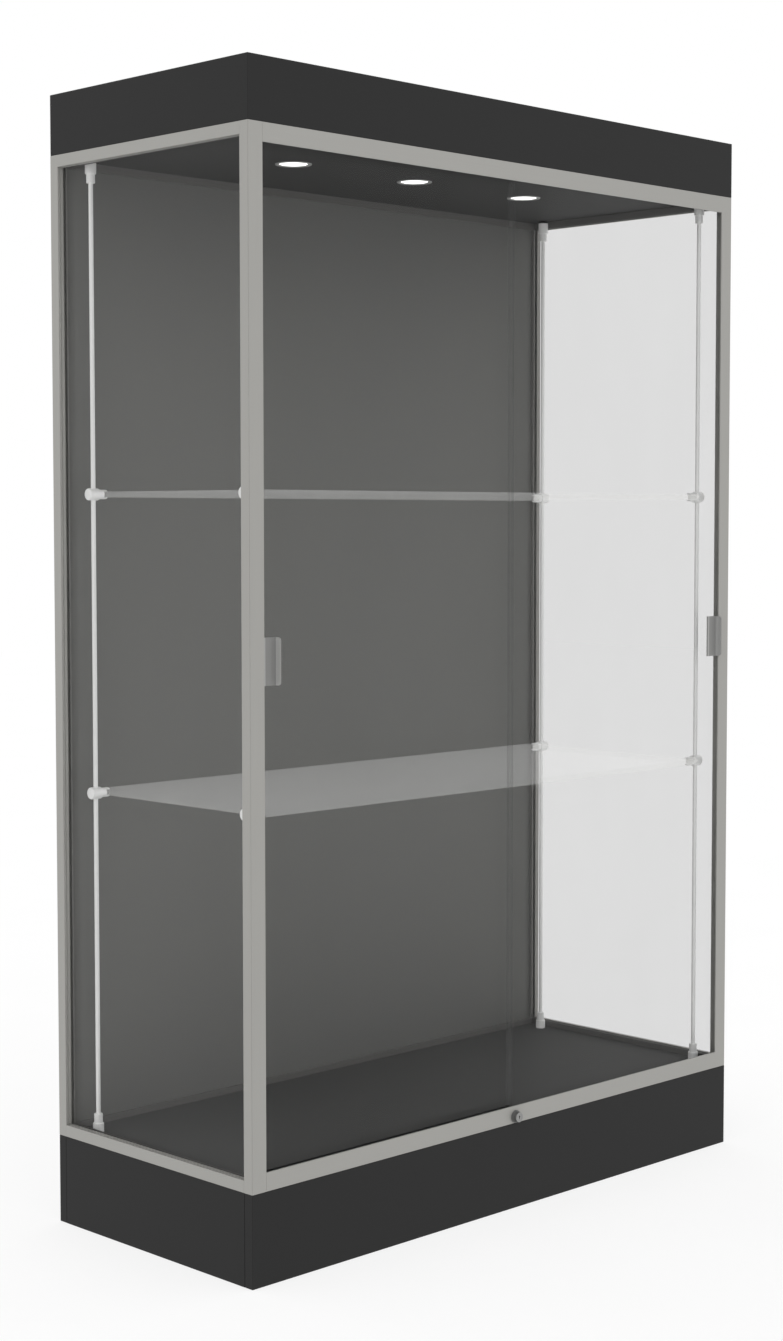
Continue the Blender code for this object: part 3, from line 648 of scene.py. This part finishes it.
# ================================================================ pulls =======
for side, body in (("left", "door_left"), ("right", "door_right")):
    node = "door_pull_" + side
    lo, hi = mm_box(node)
    px, f = hi[0], hi[1]
    zc, half = (lo[2] + hi[2]) / 2, (hi[2] - lo[2]) / 2
    w, proj = hi[0] - lo[0], hi[1] - lo[1]
    pts = rounded([(-w, 0, 0.2), (-w, -1.4, 0.2), (-w + 1.6, -1.6, 0.4), (-w + 2.0, -2.6, 0.6), (-w + 4.6, -2.6, 0.6),
                   (-w + 5.2, -1.6, 0.4), (-6.0, -1.6, 1.2), (-3.2, -2.0, 2.0), (-2.2, -6.0, 2.0), (-1.9, -8.5, 0.3), (-1.5, -proj, 0.6),
                   (0, -proj, 0.6), (0, 0, 0.3)], 5, True)
    ob = make("finger_pull_" + side, extrude([(px + u, f + v) for u, v in pts], "Z", zc - half, zc + half),
              [PULL, PULL_LIT_PAINTED, PULL_SHADE_PAINTED, PULL_LEFT_LIT_PAINTED], body, [node])
    for sz in (-1, 1):
        z_end, r, tip = zc + sz * half, 6.0, f - proj
        arc = [(tip + r - r * cos(a), z_end - sz * (r - r * sin(a))) for a in [radians(90) * i / 12 for i in range(13)]]
        corner = [(tip - 1, z_end - sz * r)] + arc + [(tip + r, z_end + sz), (tip - 1, z_end + sz)]
        carve(ob, extrude(corner, "X", px - 5, px + 5))
    resmooth(ob, 28)
    # painted light and shade: faces of the pull take lighter and darker copies of its finish
    for p in ob.data.polygons:
        u, v = p.center.x / MM - px, p.center.y / MM - f
        if -w + 1.7 < u < -w + 5.0 and v < -1.8:
            p.material_index = 1                # crest of the bead: painted highlight
        elif v < -proj + 0.4 and p.normal.y < -0.5:
            p.material_index = 2                # the lip's cut edge: painted shade
        elif u < -1.2 and v < -4.0 and p.normal.x < -0.3:
            p.material_index = 3 if side == "left" else 1    # the lip's inner flank: painted light, strongest on the left pull where the post shades it

# =========================================================== downlights =======
for k in (1, 2, 3):
    node = "downlight_%d" % k
    lo, hi = mm_box(node)
    cx, cy = (lo[0] + hi[0]) / 2, (lo[1] + hi[1]) / 2
    zc = 1822.0
    trim = rounded([(24.4, zc - 0.1, 0.1), (26.0, zc - 1.3, 0.4), (28.4, zc - 1.9, 0.8), (31.2, zc - 1.5, 0.6),
                    (31.8, zc - 0.3, 0.1), (28.9, zc - 0.3, 0.0), (28.9, zc + 4.0, 0.0), (28.0, zc + 4.0, 0.0),
                    (28.0, zc + 1.4, 0.0), (24.4, zc + 1.4, 0.0)], 3, True)
    make("downlight_ring_%d" % k, turn(trim, "Z", (cx, cy, 0), 72), TRIM, "cabinet", [node], 35)
    dome = [(0, zc - 0.9)] + [(24.3 * sin(a), zc - 0.15 - 0.75 * cos(a)) for a in [radians(90) * i / 8 for i in range(1, 9)]]
    disc = dome + [(23.8, zc + 1.4), (0, zc + 1.4)]
    make("downlight_lens_%d" % k, turn(disc, "Z", (cx, cy, 0), 72), LENS, "cabinet", (), 35)
    # finned heat sink in the canopy
    fins = [(0, zc + 1.8), (27.6, zc + 1.8)]
    z = zc + 1.8
    for i in range(7):
        fins += [(28.8 if i < 4 else 23.8, z), (28.8 if i < 4 else 23.8, z + 1.5), (20.0, z + 1.5), (20.0, z + 3.4)]
        z += 3.4
    fins = [p for i, p in enumerate(fins) if i == 0 or p != fins[i - 1]]
    fins += [(20.0, min(z, zc + 25.6)), (0, min(z, zc + 25.6))]
    fins = [(r, min(t, zc + 25.8)) for r, t in fins]
    make("downlight_heat_sink_%d" % k, turn(fins, "Z", (cx, cy, 0), 48), TRACK, "cabinet", (), 35)

# ============================================================ levellers =======
for end in ("front", "back"):
    for side in ("left", "right"):
        node = "leveller_%s_%s" % (end, side)
        lo, hi = mm_box(node)
        cx, cy = (lo[0] + hi[0]) / 2, (lo[1] + hi[1]) / 2
        body = "foot_%s_%s" % (end, side)
        pad = rounded([(0, 2.0), (17.0, 2.0, 0.8), (19.0, 3.5, 0.6), (19.0, 7.0, 1.4), (12.0, 10.2, 1.0),
                       (7.0, 11.0, 0.3), (0, 11.0)], 4)
        make("foot_pad_%s_%s" % (end, side), turn(pad, "Z", (cx, cy, 0), 40), RUBBER, body, [node], 35)
        # threaded stem, 1.5 mm pitch, with a plain tip
        stem = [(0, 11.2), (4.3, 11.2), (4.3, 18.0)]
        z = 18.0
        while z < 126.0:
            stem += [(5.0, z + 0.55), (5.0, z + 0.8), (4.25, z + 1.45)]
            z += 1.5
        stem += [(4.2, 127.5), (3.4, 128.9), (0, 128.9)]
        make("foot_stem_%s_%s" % (end, side), turn(stem, "Z", (cx, cy, 0), 28), STEEL, body, (), 50)
        nut = turn([(5.2, 11.4), (8.0, 11.4), (8.5, 11.9), (8.5, 17.4), (8.0, 17.9), (5.2, 17.9)], "Z", (cx, cy, 0), 6)
        make("foot_nut_%s_%s" % (end, side), nut, STEEL, body)

# ================================================================ inlet =======
lo, hi = mm_box("power_inlet")
cx, cz = (lo[0] + hi[0]) / 2, (lo[2] + hi[2]) / 2
hw, hh = (hi[0] - lo[0]) / 2, (hi[2] - lo[2]) / 2
outline = rounded([(cx - hw, cz - hh, 3.0), (cx + hw, cz - hh, 3.0), (cx + hw, cz + hh, 3.0), (cx - hw, cz + hh, 3.0)],
                  5, True)
ob = make("inlet_body", extrude(outline, "Y", lo[1], hi[1]), INLET, "cabinet", ["power_inlet"])
well = rounded([(cx - 12, cz - 8.5, 0.8), (cx + 12, cz - 8.5, 0.8), (cx + 12, cz + 3.5, 0.8), (cx + 7.5, cz + 8.5, 0.8),
                (cx - 7.5, cz + 8.5, 0.8), (cx - 12, cz + 3.5, 0.8)], 4, True)
carve(ob, extrude(well, "Y", hi[1] - 17.5, hi[1] + 5))
soft_edges(ob, 0.5)
resmooth(ob, 35)
pins = [cube(cx + dx - 1.0, cx + dx + 1.0, hi[1] - 17.4, hi[1] - 4.0, cz + dz - 2.0, cz + dz + 2.0)
        for dx, dz in ((-7.0, -2.0), (7.0, -2.0), (0.0, 2.5))]
pin = make("inlet_pins", join(*pins), STEEL, "cabinet")
soft_edges(pin, 0.3)

# ================================================== finish on CAD nodes =======
finish = {}
for n in nodes:
    if n == "deck_panel":
        finish[n] = DECK
    elif n == "ceiling_panel":
        finish[n] = CEILING
    elif n == "back_panel":
        finish[n] = BACK
    elif n in ("plinth_top", "plinth_stretcher") or n.startswith("plinth_runner"):
        finish[n] = BOARD
    elif n.startswith("plinth_") or n == "canopy_shell":
        finish[n] = LAMINATE
    elif n.startswith("glazing_bead"):
        finish[n] = FRAME["Z"]
    elif n.startswith("door_track"):
        finish[n] = TRACK
    elif n.startswith("door_shoe"):
        finish[n] = SHOE
for n, m in finish.items():
    slots = nodes[n].material_slots
    if not len(slots):
        nodes[n].data.materials.append(m)
    for s in nodes[n].material_slots:
        s.material = m

# ================================================================ floor =======
fb = cube(-14000, 14000, -14000, 14000, -40, -0.6)
bmesh.ops.scale(fb, vec=(MM, MM, MM), verts=fb.verts)
fme = bpy.data.meshes.new("studio_floor")
fb.to_mesh(fme)
fb.free()
floor = bpy.data.objects.new("studio_floor", fme)
scene.collection.objects.link(floor)
fm = Mat("pale_floor", (0.22, 0.22, 0.22), 0.9, spec=0.0)
fm.colour(fm.tone(fm.noise(fm.coord(), 3.0, 4.0), 0.98, 1.02))
fm.b.inputs["Emission Color"].default_value = (1, 1, 1, 1)
fm.b.inputs["Emission Strength"].default_value = 0.78
fme.materials.append(fm.m)
